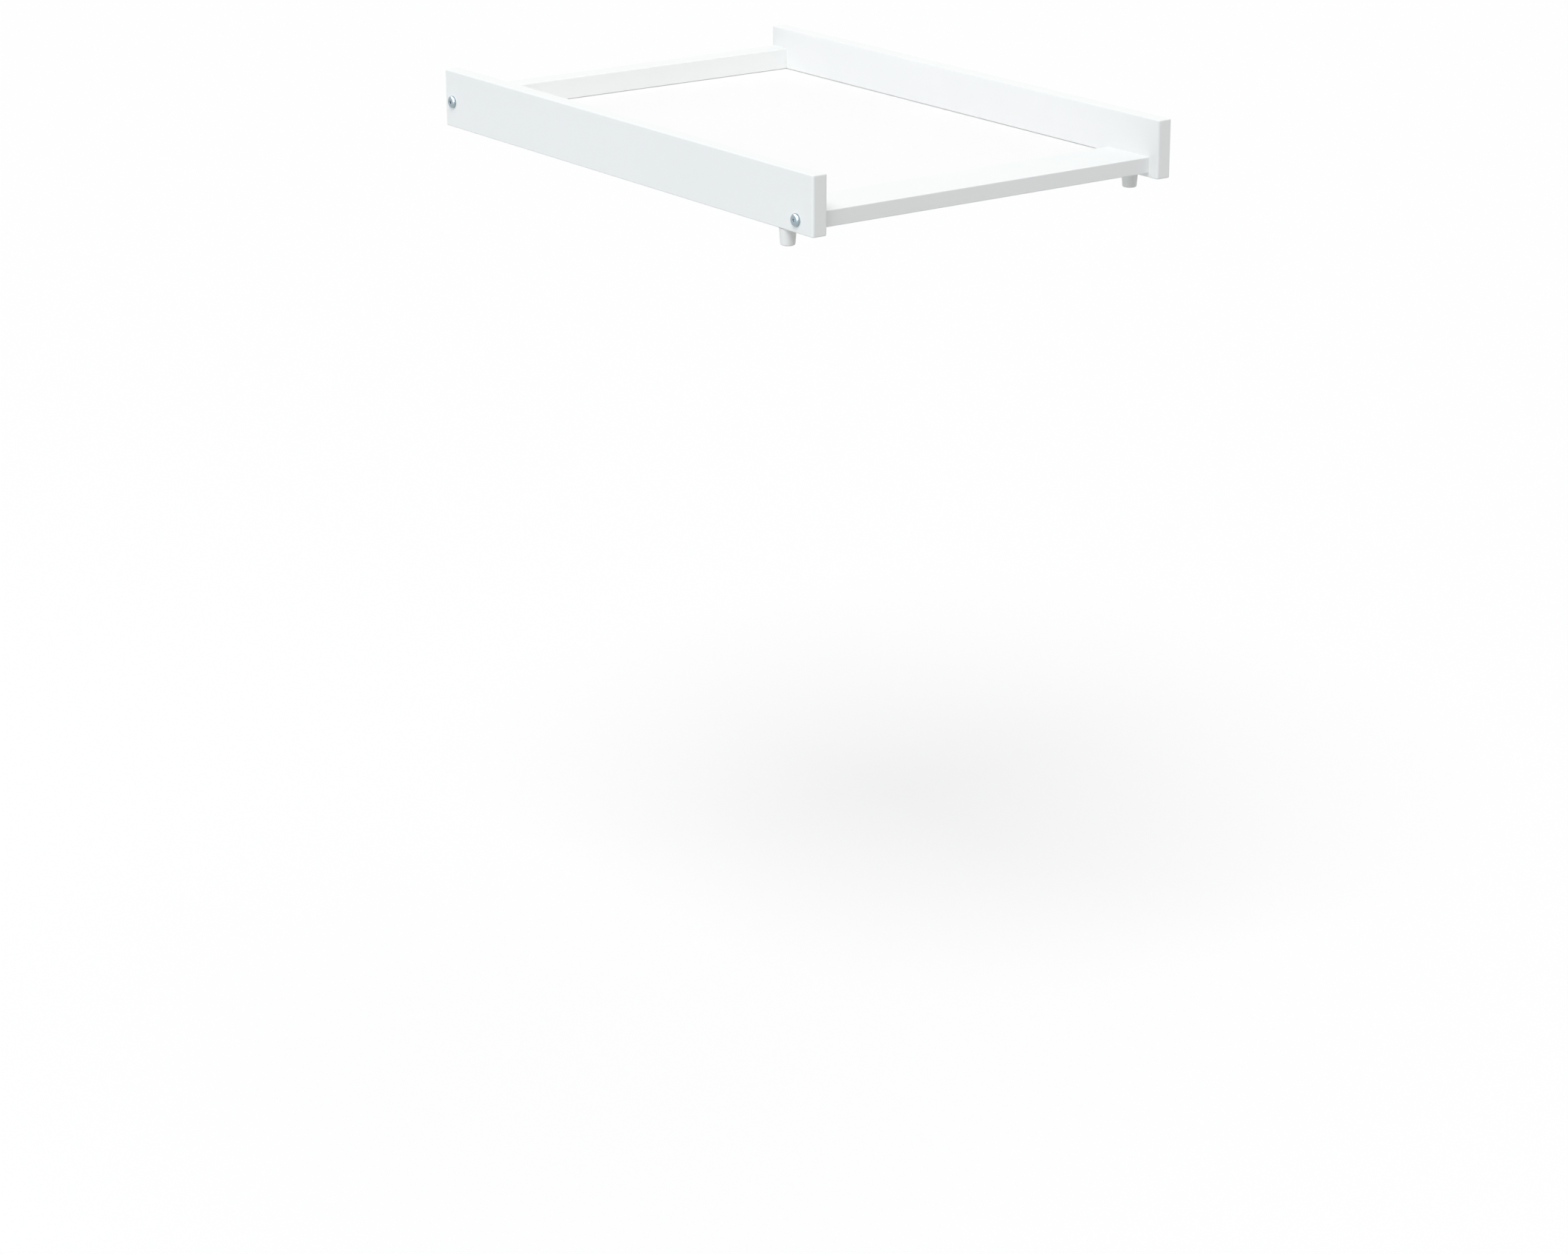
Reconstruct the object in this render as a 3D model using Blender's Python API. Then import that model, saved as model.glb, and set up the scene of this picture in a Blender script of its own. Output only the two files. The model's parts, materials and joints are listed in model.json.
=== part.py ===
"""Cot top changer: a lacquered changing tray that is laid across a front and a rear bearer.

Two side boards stand on edge and rest on the bearers. A low front rail and a rear rail join them, each with
a connector bolt and a cross-drilled barrel nut at either end. A thin panel slides in grooves in the boards
and the front rail, and the rear rail is screwed down on it. Two pegs drop behind the front bearer.

X runs across the tray from left to right, Y from its open front to its rear rail and Z up. The origin lies
under the tray's middle, level with the tips of the pegs. All lengths are in metres.
"""
import math

import bmesh
import bpy
from mathutils import Vector

# Whole tray: width over the side boards, play that touching faces keep, length by which cutters overrun
TRAY_WIDTH = 0.522
SEAT_GAP = 0.0003
CUT_OVERRUN = 0.002

# Side boards, standing on edge; the corner radius is on the upright corners, the edge radius on the others
BOARD_LENGTH = 0.762
BOARD_HEIGHT = 0.070
BOARD_THICKNESS = 0.020
BOARD_CORNER_RADIUS = 0.003
BOARD_EDGE_RADIUS = 0.0015
BOARD_GROOVE_DEPTH = 0.006

# Front rail, lying flat between the boards
FRONT_RAIL_DEPTH = 0.075
FRONT_RAIL_THICKNESS = 0.019
FRONT_RAIL_SETBACK = 0.015
FRONT_RAIL_LIFT = 0.0055
FRONT_RAIL_GROOVE_DEPTH = 0.008

# Rear rail, lying on the panel
REAR_RAIL_DEPTH = 0.030
REAR_RAIL_HEIGHT = 0.026
REAR_RAIL_SETBACK = 0.002
RAIL_EDGE_RADIUS = 0.001

# Base panel: its face lies below the front rail's, and its edges have play in the grooves
PANEL_THICKNESS = 0.006
PANEL_STEP = 0.0062
PANEL_EDGE_PLAY = 0.0005
PANEL_HEADROOM = 0.0006
PANEL_REAR_INSET = 0.003

# Connector bolts with a domed head and a hexagon socket
BOLT_DIAMETER = 0.006
BOLT_LENGTH = 0.050
BOLT_HEAD_DIAMETER = 0.015
BOLT_HEAD_FLAT_DIAMETER = 0.010
BOLT_HEAD_HEIGHT = 0.0034
BOLT_RIM_HEIGHT = 0.0008
BOLT_TIP_CHAMFER = 0.0007
BOLT_SOCKET_SIZE = 0.004
BOLT_SOCKET_DEPTH = 0.0024
BOLT_CHANNEL_SPARE = 0.002
FRONT_BOLT_FROM_END = 0.031
REAR_BOLT_FROM_END = 0.017

# Barrel nuts, upright in the rails
NUT_DIAMETER = 0.010
NUT_LENGTH = 0.012
NUT_CHAMFER = 0.0005
NUT_FROM_BOLT_TIP = 0.008
NUT_SLOT_WIDTH = 0.0012
NUT_SLOT_DEPTH = 0.0015

# Fluted dowels between the front rail and the boards
DOWEL_DIAMETER = 0.008
DOWEL_LENGTH = 0.030
DOWEL_IN_BOARD = 0.010
DOWEL_CHAMFER = 0.001
DOWEL_FLUTE_DEPTH = 0.0004
DOWEL_END_PLAY = 0.001

# Locating pegs under the boards
PEG_DIAMETER = 0.020
PEG_TIP_DIAMETER = 0.0172
PEG_TIP_RADIUS = 0.002
PEG_HEIGHT = 0.020
PEG_FROM_END = 0.060

# Countersunk screws: up through each peg, and up through the panel into the rear rail
PEG_SCREW_DIAMETER = 0.004
PEG_SCREW_HEAD_DIAMETER = 0.0078
PEG_SCREW_LENGTH = 0.036
PANEL_SCREW_DIAMETER = 0.0035
PANEL_SCREW_HEAD_DIAMETER = 0.0068
PANEL_SCREW_LENGTH = 0.022
PANEL_SCREW_FROM_END = 0.055
SCREW_HEAD_SUNK = 0.0003
SCREW_HEAD_RIM = 0.0004
SCREW_POINT_LENGTH = 0.005
SCREW_POINT_DIAMETER = 0.0006
SCREW_RECESS_WIDTH = 0.001
SCREW_RECESS_DEPTH = 0.0016

# Distance from a peg at which the underside's resting faces begin
REST_CLEARANCE = 0.0005

# Counts and facets
PANEL_SCREW_COUNT = 4
DOWEL_FLUTES = 16
POINTS_PER_FLUTE = 3
EDGE_SEGMENTS = 4
ROUND_SEGMENTS = 32
ARC_SEGMENTS = 5
SMOOTH_ANGLE = math.radians(35)
COUNTERSINK_ANGLE = math.radians(90)

# Heights that the pieces share, bottom to top
BOARD_BOTTOM = PEG_HEIGHT
BOARD_MIDDLE = BOARD_BOTTOM + BOARD_HEIGHT / 2
FRONT_RAIL_MIDDLE = BOARD_BOTTOM + FRONT_RAIL_LIFT + FRONT_RAIL_THICKNESS / 2
PANEL_TOP = FRONT_RAIL_MIDDLE + FRONT_RAIL_THICKNESS / 2 - PANEL_STEP
PANEL_BOTTOM = PANEL_TOP - PANEL_THICKNESS
GROOVE_BOTTOM = PANEL_BOTTOM - SEAT_GAP
GROOVE_TOP = PANEL_TOP + PANEL_HEADROOM
REAR_RAIL_MIDDLE = PANEL_TOP + SEAT_GAP + REAR_RAIL_HEIGHT / 2

# Places along Y, front to rear
FRONT_END = -BOARD_LENGTH / 2
REAR_END = BOARD_LENGTH / 2
FRONT_BOLT_Y = FRONT_END + FRONT_BOLT_FROM_END
PEG_Y = FRONT_END + PEG_FROM_END
FRONT_RAIL_FRONT = FRONT_END + FRONT_RAIL_SETBACK
FRONT_RAIL_BACK = FRONT_RAIL_FRONT + FRONT_RAIL_DEPTH
PANEL_FRONT = FRONT_RAIL_BACK - FRONT_RAIL_GROOVE_DEPTH + PANEL_EDGE_PLAY
PANEL_REAR = REAR_END - PANEL_REAR_INSET
DOWEL_Y = (PEG_Y + PANEL_FRONT) / 2
REAR_RAIL_Y = REAR_END - REAR_RAIL_SETBACK - REAR_RAIL_DEPTH / 2
REAR_BOLT_Y = REAR_END - REAR_BOLT_FROM_END

# Distances from the middle plane along X
BOARD_OUTER = TRAY_WIDTH / 2
BOARD_X = BOARD_OUTER - BOARD_THICKNESS / 2
BOARD_INNER = BOARD_OUTER - BOARD_THICKNESS
RAIL_END = BOARD_INNER - SEAT_GAP
PANEL_EDGE = BOARD_INNER + BOARD_GROOVE_DEPTH - PANEL_EDGE_PLAY
BOLT_SEAT = BOARD_OUTER + SEAT_GAP
BOLT_TIP = BOLT_SEAT - BOLT_LENGTH
NUT_X = BOLT_TIP + NUT_FROM_BOLT_TIP
DOWEL_OUTER = BOARD_INNER + DOWEL_IN_BOARD
DOWEL_INNER = DOWEL_OUTER - DOWEL_LENGTH
FIRST_SCREW_X = RAIL_END - PANEL_SCREW_FROM_END

BOLT_PLACES = (("front", FRONT_BOLT_Y, FRONT_RAIL_MIDDLE), ("rear", REAR_BOLT_Y, REAR_RAIL_MIDDLE))
SIDES = {"left": -1, "right": 1}
ACROSS = Vector((1, 0, 0))
ALONG = Vector((0, 1, 0))
UP = Vector((0, 0, 1))


def finish(name, colour, roughness, metallic=0):
    """A plain Principled material."""
    material = bpy.data.materials.new(name)
    material.use_nodes = True
    shader = material.node_tree.nodes["Principled BSDF"]
    shader.inputs["Base Color"].default_value = (*colour, 1)
    shader.inputs["Roughness"].default_value = roughness
    shader.inputs["Metallic"].default_value = metallic
    material.diffuse_color = (*colour, 1)
    return material


def new_object(name, bm, material=None):
    """An object that owns the mesh in bm, smooth but for its sharp edges."""
    bmesh.ops.recalc_face_normals(bm, faces=bm.faces)
    mesh = bpy.data.meshes.new(name)
    bm.to_mesh(mesh)
    bm.free()
    mesh.shade_smooth()
    mesh.set_sharp_from_angle(angle=SMOOTH_ANGLE)
    piece = bpy.data.objects.new(name, mesh)
    bpy.context.scene.collection.objects.link(piece)
    if material:
        mesh.materials.append(material)
    return piece


def block_mesh(size, radius=0, edges_along=None):
    """A block round its own middle, with all its edges rounded or only those along one axis."""
    bm = bmesh.new()
    bmesh.ops.create_cube(bm, size=1)
    bmesh.ops.scale(bm, vec=size, verts=bm.verts)
    if radius:
        edges = [edge for edge in bm.edges if edges_along is None or runs_along(edge, edges_along)]
        bmesh.ops.bevel(bm, geom=edges, offset=radius, segments=EDGE_SEGMENTS, profile=0.5, affect="EDGES")
    return bm


def runs_along(edge, axis):
    """Whether an edge of a block lies along the axis."""
    direction = (edge.verts[1].co - edge.verts[0].co).normalized()
    return abs(direction.dot(axis)) > 0.5


def round_rims(bm, radius):
    """Round the edges of a mesh that run round its top and its bottom face."""
    bm.normal_update()
    rims = [edge for edge in bm.edges if sum(abs(face.normal.z) > 0.5 for face in edge.link_faces) == 1]
    bmesh.ops.bevel(bm, geom=rims, offset=radius, segments=EDGE_SEGMENTS, profile=0.5, affect="EDGES")


def divide(bm, y):
    """Divide the faces of a mesh, without bending them, where they cross one place along Y."""
    bmesh.ops.bisect_plane(bm, geom=[*bm.verts, *bm.edges, *bm.faces], plane_co=ALONG * y, plane_no=ALONG)


def turned_mesh(profile, closed=False):
    """A body of revolution about Z through the (radius, height) points of its profile.

    An open profile starts and ends on the axis. A closed one runs round a bore.
    """
    bm = bmesh.new()
    points = [bm.verts.new((radius, 0, height)) for radius, height in profile]
    edges = [bm.edges.new(pair) for pair in zip(points, points[1:])]
    if closed:
        edges.append(bm.edges.new((points[-1], points[0])))
    bmesh.ops.spin(bm, geom=points + edges, cent=(0, 0, 0), axis=UP, angle=math.tau,
                   steps=ROUND_SEGMENTS, use_merge=True)
    bmesh.ops.remove_doubles(bm, verts=bm.verts, dist=SEAT_GAP / ROUND_SEGMENTS)
    return bm


def arc(centre, radius, start, end):
    """Points of an arc in the profile's plane, from one angle to another."""
    angles = [start + (end - start) * step / ARC_SEGMENTS for step in range(ARC_SEGMENTS + 1)]
    return [(centre[0] + radius * math.cos(a), centre[1] + radius * math.sin(a)) for a in angles]


def prism_mesh(outline, start, end):
    """An outline of (Y, Z) points, extruded along X from start to end."""
    bm = bmesh.new()
    face = bm.faces.new([bm.verts.new((start, y, z)) for y, z in outline])
    pushed = bmesh.ops.extrude_face_region(bm, geom=[face])
    moved = [item for item in pushed["geom"] if isinstance(item, bmesh.types.BMVert)]
    bmesh.ops.translate(bm, vec=ACROSS * (end - start), verts=moved)
    return bm


def cut(piece, cutter):
    """Take the cutter's volume out of the piece."""
    cutter.hide_render = True
    cutter.display_type = "WIRE"
    boolean = piece.modifiers.new(cutter.name, "BOOLEAN")
    boolean.operation = "DIFFERENCE"
    boolean.solver = "EXACT"
    boolean.object = cutter


def drill(piece, label, mouth, direction, depth, diameter):
    """A round hole that enters the piece at its mouth and runs straight in."""
    bm = bmesh.new()
    bmesh.ops.create_cone(bm, cap_ends=True, segments=ROUND_SEGMENTS, radius1=diameter / 2,
                          radius2=diameter / 2, depth=depth + CUT_OVERRUN)
    cutter = new_object(f"cut_{piece.name}_{label}", bm)
    cutter.rotation_euler = direction.to_track_quat("Z", "Y").to_euler()
    cutter.location = mouth + direction * (depth - CUT_OVERRUN) / 2
    cut(piece, cutter)


def side_board(name, side, material):
    """One side board: grooved for the panel and drilled for its bolts, dowel and peg screw."""
    bm = block_mesh((BOARD_THICKNESS, BOARD_LENGTH, BOARD_HEIGHT), BOARD_CORNER_RADIUS, UP)
    round_rims(bm, BOARD_EDGE_RADIUS)
    peg_space = PEG_DIAMETER / 2 + REST_CLEARANCE
    divide(bm, PEG_Y - peg_space)
    divide(bm, PEG_Y + peg_space)
    board = new_object(name, bm, material)
    board.location = (side * BOARD_X, 0, BOARD_MIDDLE)

    groove = prism_mesh(board_groove_outline(), side * (BOARD_INNER - CUT_OVERRUN),
                        side * (BOARD_INNER + BOARD_GROOVE_DEPTH))
    cut(board, new_object(f"cut_{name}_groove", groove))

    outward = ACROSS * side
    bolt_hole = BOLT_DIAMETER + 2 * SEAT_GAP
    for end, y, z in BOLT_PLACES:
        drill(board, f"{end}_bolt_hole", Vector((side * BOARD_INNER, y, z)), outward,
              BOARD_THICKNESS + CUT_OVERRUN, bolt_hole)
    drill(board, "dowel_hole", Vector((side * BOARD_INNER, DOWEL_Y, FRONT_RAIL_MIDDLE)), outward,
          DOWEL_IN_BOARD + DOWEL_END_PLAY, DOWEL_DIAMETER + 2 * SEAT_GAP)
    drill(board, "peg_screw_hole", Vector((side * BOARD_X, PEG_Y, BOARD_BOTTOM)), UP,
          PEG_SCREW_LENGTH + SCREW_HEAD_SUNK + SEAT_GAP - PEG_HEIGHT, PEG_SCREW_DIAMETER + 2 * SEAT_GAP)
    return board


def board_groove_outline():
    """The groove's side view: round where the cutter stopped at the front, run out at the rear end."""
    radius = (GROOVE_TOP - GROOVE_BOTTOM) / 2
    front = (PANEL_FRONT - PANEL_EDGE_PLAY, (GROOVE_TOP + GROOVE_BOTTOM) / 2)
    run_out = REAR_END + CUT_OVERRUN
    stop = arc(front, radius, math.radians(90), math.radians(270))
    return stop + [(run_out, GROOVE_BOTTOM), (run_out, GROOVE_TOP)]


def rail_ends(rail, bolt_y, middle, height):
    """Bolt channels in both ends of a rail, each with an upright hole for its barrel nut."""
    hole_top = middle + NUT_LENGTH / 2 + SEAT_GAP
    rail_bottom = middle - height / 2
    for side_name, side in SIDES.items():
        drill(rail, f"{side_name}_bolt_channel", Vector((side * RAIL_END, bolt_y, middle)), ACROSS * -side,
              RAIL_END - BOLT_TIP + BOLT_CHANNEL_SPARE, BOLT_DIAMETER + 2 * SEAT_GAP)
        drill(rail, f"{side_name}_nut_hole", Vector((side * NUT_X, bolt_y, rail_bottom)), UP,
              hole_top - rail_bottom, NUT_DIAMETER + 2 * SEAT_GAP)


def front_rail(material):
    """The low front rail, with the panel's groove along its back edge."""
    size = (2 * RAIL_END, FRONT_RAIL_DEPTH, FRONT_RAIL_THICKNESS)
    rail = new_object("front_rail", block_mesh(size, RAIL_EDGE_RADIUS, ACROSS), material)
    rail.location = (0, (FRONT_RAIL_FRONT + FRONT_RAIL_BACK) / 2, FRONT_RAIL_MIDDLE)

    groove_front = FRONT_RAIL_BACK - FRONT_RAIL_GROOVE_DEPTH
    groove_back = FRONT_RAIL_BACK + CUT_OVERRUN
    outline = [(groove_front, GROOVE_BOTTOM), (groove_back, GROOVE_BOTTOM),
               (groove_back, GROOVE_TOP), (groove_front, GROOVE_TOP)]
    groove_end = RAIL_END + CUT_OVERRUN
    cut(rail, new_object("cut_front_rail_groove", prism_mesh(outline, -groove_end, groove_end)))

    rail_ends(rail, FRONT_BOLT_Y, FRONT_RAIL_MIDDLE, FRONT_RAIL_THICKNESS)
    for side_name, side in SIDES.items():
        drill(rail, f"{side_name}_dowel_hole", Vector((side * RAIL_END, DOWEL_Y, FRONT_RAIL_MIDDLE)),
              ACROSS * -side, RAIL_END - DOWEL_INNER + DOWEL_END_PLAY, DOWEL_DIAMETER + 2 * SEAT_GAP)
    return rail


def rear_rail(material):
    """The rear rail, drilled from below for the screws that hold the panel to it."""
    size = (2 * RAIL_END, REAR_RAIL_DEPTH, REAR_RAIL_HEIGHT)
    rail = new_object("rear_rail", block_mesh(size, RAIL_EDGE_RADIUS, ACROSS), material)
    rail.location = (0, REAR_RAIL_Y, REAR_RAIL_MIDDLE)

    rail_ends(rail, REAR_BOLT_Y, REAR_RAIL_MIDDLE, REAR_RAIL_HEIGHT)
    rail_bottom = REAR_RAIL_MIDDLE - REAR_RAIL_HEIGHT / 2
    screw_top = PANEL_BOTTOM + SCREW_HEAD_SUNK + PANEL_SCREW_LENGTH
    for number, x in enumerate(panel_screw_places(), 1):
        drill(rail, f"screw_hole_{number}", Vector((x, REAR_RAIL_Y, rail_bottom)), UP,
              screw_top + SEAT_GAP - rail_bottom, PANEL_SCREW_DIAMETER + 2 * SEAT_GAP)
    return rail


def panel_screw_places():
    """Where the panel screws stand along the rear rail, evenly spread."""
    pitch = 2 * FIRST_SCREW_X / (PANEL_SCREW_COUNT - 1)
    return [pitch * number - FIRST_SCREW_X for number in range(PANEL_SCREW_COUNT)]


def base_panel(material):
    """The thin panel, with countersunk holes along its rear edge."""
    size = (2 * PANEL_EDGE, PANEL_REAR - PANEL_FRONT, PANEL_THICKNESS)
    panel = new_object("base_panel", block_mesh(size), material)
    panel.location = (0, (PANEL_FRONT + PANEL_REAR) / 2, (PANEL_TOP + PANEL_BOTTOM) / 2)

    bore = PANEL_SCREW_DIAMETER / 2 + SEAT_GAP
    mouth = countersink_mouth(PANEL_SCREW_HEAD_DIAMETER)
    cutter_top = PANEL_THICKNESS + CUT_OVERRUN
    profile = [(0, -CUT_OVERRUN), (mouth, -CUT_OVERRUN), (mouth, 0), (bore, countersink_depth(mouth, bore)),
               (bore, cutter_top), (0, cutter_top)]
    for number, x in enumerate(panel_screw_places(), 1):
        cutter = new_object(f"cut_base_panel_screw_hole_{number}", turned_mesh(profile))
        cutter.location = (x, REAR_RAIL_Y, PANEL_BOTTOM)
        cut(panel, cutter)
    return panel


def countersink_mouth(head_diameter):
    """Radius at the face of a countersink that lets the head sink in and keep its play."""
    return head_diameter / 2 + SCREW_HEAD_SUNK + SCREW_HEAD_RIM + SEAT_GAP


def countersink_depth(mouth, bore):
    """Depth at which a countersink has narrowed from its mouth to its bore."""
    return (mouth - bore) / math.tan(COUNTERSINK_ANGLE / 2)


def connector_bolt_mesh():
    """A bolt along Z: shank below the seat at zero, domed head with a flat face above it."""
    shank = BOLT_DIAMETER / 2
    rim = BOLT_HEAD_DIAMETER / 2
    flat = BOLT_HEAD_FLAT_DIAMETER / 2
    rise = BOLT_HEAD_HEIGHT - BOLT_RIM_HEIGHT
    dome = [(flat + (rim - flat) * across, BOLT_RIM_HEIGHT + rise * up)
            for across, up in arc((0, 0), 1, 0, math.radians(90))]
    profile = [(0, -BOLT_LENGTH), (shank - BOLT_TIP_CHAMFER, -BOLT_LENGTH),
               (shank, BOLT_TIP_CHAMFER - BOLT_LENGTH), (shank, 0), (rim, 0), *dome, (0, BOLT_HEAD_HEIGHT)]
    return turned_mesh(profile)


def hexagon_mesh(size, depth):
    """A hexagonal prism, size across its flats, that stands on Z = 0 with a flat side up."""
    bm = bmesh.new()
    corner_radius = size / math.sqrt(3)
    bmesh.ops.create_cone(bm, cap_ends=True, segments=6, radius1=corner_radius, radius2=corner_radius,
                          depth=depth)
    bmesh.ops.translate(bm, vec=UP * depth / 2, verts=bm.verts)
    return bm


def connector_bolt(name, side, y, z, material):
    """One connector bolt, driven through a side board from outside."""
    outward = (ACROSS * side).to_track_quat("Z", "Y").to_euler()
    bolt = new_object(name, connector_bolt_mesh(), material)
    bolt.location = (side * BOLT_SEAT, y, z)
    bolt.rotation_euler = outward
    socket = new_object(f"cut_{name}_socket",
                        hexagon_mesh(BOLT_SOCKET_SIZE, BOLT_SOCKET_DEPTH + CUT_OVERRUN))
    socket.location = (side * (BOLT_SEAT + BOLT_HEAD_HEIGHT - BOLT_SOCKET_DEPTH), y, z)
    socket.rotation_euler = outward
    cut(bolt, socket)
    return bolt


def barrel_nut(name, side, y, z, material):
    """One barrel nut: an upright cylinder, cross drilled for the bolt and slotted to turn it in line."""
    radius = NUT_DIAMETER / 2
    half = NUT_LENGTH / 2
    profile = [(0, -half), (radius - NUT_CHAMFER, -half), (radius, NUT_CHAMFER - half),
               (radius, half - NUT_CHAMFER), (radius - NUT_CHAMFER, half), (0, half)]
    nut = new_object(name, turned_mesh(profile), material)
    nut.location = (side * NUT_X, y, z)
    through = NUT_DIAMETER + CUT_OVERRUN
    drill(nut, "bore", Vector((side * (NUT_X + radius), y, z)), ACROSS * -side, through,
          BOLT_DIAMETER + 2 * SEAT_GAP)
    slot = new_object(f"cut_{name}_slot", block_mesh((through, NUT_SLOT_WIDTH, 2 * NUT_SLOT_DEPTH)))
    slot.location = (side * NUT_X, y, z - half)
    cut(nut, slot)
    return nut


def fluted_ring(bm, x, inset):
    """One ring of a fluted dowel's skin: a circle with a shallow wave for every flute."""
    points = DOWEL_FLUTES * POINTS_PER_FLUTE
    ring = []
    for number in range(points):
        angle = math.tau * number / points
        wave = (1 - math.cos(DOWEL_FLUTES * angle)) / 2
        radius = DOWEL_DIAMETER / 2 - inset - DOWEL_FLUTE_DEPTH * wave
        ring.append(bm.verts.new((x, radius * math.cos(angle), radius * math.sin(angle))))
    return ring


def dowel(name, side, material):
    """One fluted dowel, chamfered at both ends, half in the board and half in the rail."""
    bm = bmesh.new()
    half = DOWEL_LENGTH / 2
    stations = [(-half, DOWEL_CHAMFER), (DOWEL_CHAMFER - half, 0),
                (half - DOWEL_CHAMFER, 0), (half, DOWEL_CHAMFER)]
    rings = [fluted_ring(bm, x, inset) for x, inset in stations]
    for ring, following in zip(rings, rings[1:]):
        for number, vertex in enumerate(ring):
            before = number - 1
            bm.faces.new((ring[before], vertex, following[number], following[before]))
    bm.faces.new(rings[0])
    bm.faces.new(rings[-1])
    pin = new_object(name, bm, material)
    pin.location = (side * (DOWEL_OUTER + DOWEL_INNER) / 2, DOWEL_Y, FRONT_RAIL_MIDDLE)
    return pin


def locating_peg(name, side, material):
    """One tapered peg with a rounded tip, bored and countersunk from below for its screw."""
    bore = PEG_SCREW_DIAMETER / 2 + SEAT_GAP
    mouth = countersink_mouth(PEG_SCREW_HEAD_DIAMETER)
    tip = PEG_TIP_DIAMETER / 2
    rounding = arc((tip - PEG_TIP_RADIUS, PEG_TIP_RADIUS), PEG_TIP_RADIUS, math.radians(-90), 0)
    top = PEG_HEIGHT - SEAT_GAP
    profile = [(bore, top), (bore, countersink_depth(mouth, bore)), (mouth, 0), *rounding,
               (PEG_DIAMETER / 2, top)]
    peg = new_object(name, turned_mesh(profile, closed=True), material)
    peg.location = (side * BOARD_X, PEG_Y, 0)
    return peg


def wood_screw(name, place, length, diameter, head_diameter, material):
    """One countersunk screw, point up, with its head sunk below the face at its place."""
    head = head_diameter / 2
    core = diameter / 2
    shoulder = SCREW_HEAD_RIM + countersink_depth(head, core)
    profile = [(0, 0), (head, 0), (head, SCREW_HEAD_RIM), (core, shoulder),
               (core, length - SCREW_POINT_LENGTH), (SCREW_POINT_DIAMETER / 2, length), (0, length)]
    screw = new_object(name, turned_mesh(profile), material)
    screw.location = place + UP * SCREW_HEAD_SUNK
    arm = head_diameter / 2
    for label, size in (("first", (arm, SCREW_RECESS_WIDTH)), ("second", (SCREW_RECESS_WIDTH, arm))):
        recess = new_object(f"cut_{name}_{label}_slot", block_mesh((*size, 2 * SCREW_RECESS_DEPTH)))
        recess.location = screw.location
        cut(screw, recess)
    return screw


def clear_scene():
    """Remove whatever the file holds."""
    for item in list(bpy.data.objects):
        bpy.data.objects.remove(item, do_unlink=True)


def build():
    """Model every piece of the tray and gather them under one empty."""
    clear_scene()
    lacquer = finish("white_lacquer", (0.86, 0.87, 0.87), 0.38)
    panel_white = finish("white_panel", (0.88, 0.89, 0.89), 0.32)
    peg_white = finish("white_peg_plastic", (0.78, 0.79, 0.78), 0.45)
    zinc = finish("zinc_plated_steel", (0.62, 0.64, 0.66), 0.28, 1)
    beech = finish("beech", (0.62, 0.43, 0.26), 0.6)

    pieces = [front_rail(lacquer), rear_rail(lacquer), base_panel(panel_white)]
    for side_name, side in SIDES.items():
        pieces.append(side_board(f"{side_name}_side_board", side, lacquer))
        for end, y, z in BOLT_PLACES:
            pieces.append(connector_bolt(f"bolt_{end}_{side_name}", side, y, z, zinc))
            pieces.append(barrel_nut(f"barrel_nut_{end}_{side_name}", side, y, z, zinc))
        pieces.append(dowel(f"dowel_{side_name}", side, beech))
        pieces.append(locating_peg(f"peg_{side_name}", side, peg_white))
        pieces.append(wood_screw(f"peg_screw_{side_name}", Vector((side * BOARD_X, PEG_Y, 0)),
                                 PEG_SCREW_LENGTH, PEG_SCREW_DIAMETER, PEG_SCREW_HEAD_DIAMETER, zinc))
    for number, x in enumerate(panel_screw_places(), 1):
        pieces.append(wood_screw(f"panel_screw_{number}", Vector((x, REAR_RAIL_Y, PANEL_BOTTOM)),
                                 PANEL_SCREW_LENGTH, PANEL_SCREW_DIAMETER, PANEL_SCREW_HEAD_DIAMETER, zinc))

    tray = bpy.data.objects.new("cot_top_changer", None)
    bpy.context.scene.collection.objects.link(tray)
    for piece in pieces:
        piece.parent = tray


build()
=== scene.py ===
"""Looks of the cot top changer: lacquer, faced panel, fittings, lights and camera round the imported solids.

Lengths are in metres, in the part's own frame: X across the tray, Y from its open front to its rear rail,
Z up, with the origin under the tray's middle, level with the tips of the pegs.
"""
import json
import math

import bmesh
import bpy
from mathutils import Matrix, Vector

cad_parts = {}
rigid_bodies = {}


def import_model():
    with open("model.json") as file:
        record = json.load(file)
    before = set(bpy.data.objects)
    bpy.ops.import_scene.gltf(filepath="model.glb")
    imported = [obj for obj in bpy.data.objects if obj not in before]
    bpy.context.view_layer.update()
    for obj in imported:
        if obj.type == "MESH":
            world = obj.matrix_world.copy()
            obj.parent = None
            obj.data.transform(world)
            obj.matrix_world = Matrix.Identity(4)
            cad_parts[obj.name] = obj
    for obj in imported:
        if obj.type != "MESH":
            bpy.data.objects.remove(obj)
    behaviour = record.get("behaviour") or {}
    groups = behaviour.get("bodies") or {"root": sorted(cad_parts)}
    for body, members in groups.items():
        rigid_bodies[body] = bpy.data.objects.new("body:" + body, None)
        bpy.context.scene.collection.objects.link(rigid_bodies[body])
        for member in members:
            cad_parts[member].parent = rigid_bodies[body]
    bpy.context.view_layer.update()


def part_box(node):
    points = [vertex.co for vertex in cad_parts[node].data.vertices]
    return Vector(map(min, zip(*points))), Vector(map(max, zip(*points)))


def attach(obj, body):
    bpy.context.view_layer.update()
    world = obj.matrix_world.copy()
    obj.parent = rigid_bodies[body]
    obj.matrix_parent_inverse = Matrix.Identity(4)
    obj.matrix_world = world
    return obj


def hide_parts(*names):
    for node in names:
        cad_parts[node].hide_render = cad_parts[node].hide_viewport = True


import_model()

BODY = "root"
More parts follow.
